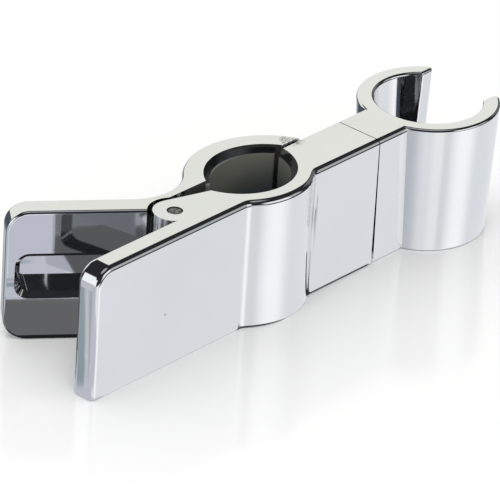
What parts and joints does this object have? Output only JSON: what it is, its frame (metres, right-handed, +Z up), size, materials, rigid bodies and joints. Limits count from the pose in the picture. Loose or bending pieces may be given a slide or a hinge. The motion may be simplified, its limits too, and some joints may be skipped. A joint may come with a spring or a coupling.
{
  "type": "shower rail slider",
  "caption": "Sprung two-jaw clamp for an upright shower rail, with thumb levers and a swivelling tapered C-shaped cup that holds a hand shower.",
  "frame": {"origin": "on the axis of the rail that the jaws grip, half way up the part", "axes": "+X along the arm to the handset cup, +Y towards the rear lever, +Z up along the rail"},
  "size_m": [0.1367, 0.0491, 0.0336],
  "materials": {
    "chrome_plating": "polished",
    "pin_steel": "dull",
    "spring_steel": "satin",
    "grip_rubber": "smooth dark grey",
    "screw_steel": "bright",
    "insert_brass": "turned"
  },
  "bodies": {
    "front_half": {"front_half": "chrome_plating", "pivot_pin": "pin_steel", "torsion_spring": "spring_steel", "front_liner": "grip_rubber", "threaded_insert": "insert_brass", "swivel_screw": "screw_steel", "flat_washer": "screw_steel", "disc_spring": "spring_steel"},
    "rear_half": {"rear_half": "chrome_plating", "rear_liner": "grip_rubber"},
    "handset_holder": {"handset_holder": "chrome_plating"}
  },
  "joints": [
    {"name": "clamp_pivot", "type": "hinge", "parent": "front_half", "child": "rear_half", "pos_m": [-0.0274, -0.0059, 0], "axis": [0, 0, 1], "range_deg": [0, 35], "stiffness_Nm_per_rad": 0.5, "springref_deg": -45.84, "deforming": ["torsion_spring"]},
    {"name": "holder_swivel", "type": "hinge", "parent": "front_half", "child": "handset_holder", "pos_m": [0.0346, -0.008, 0], "axis": [1, 0, 0], "continuous": true}
  ]
}
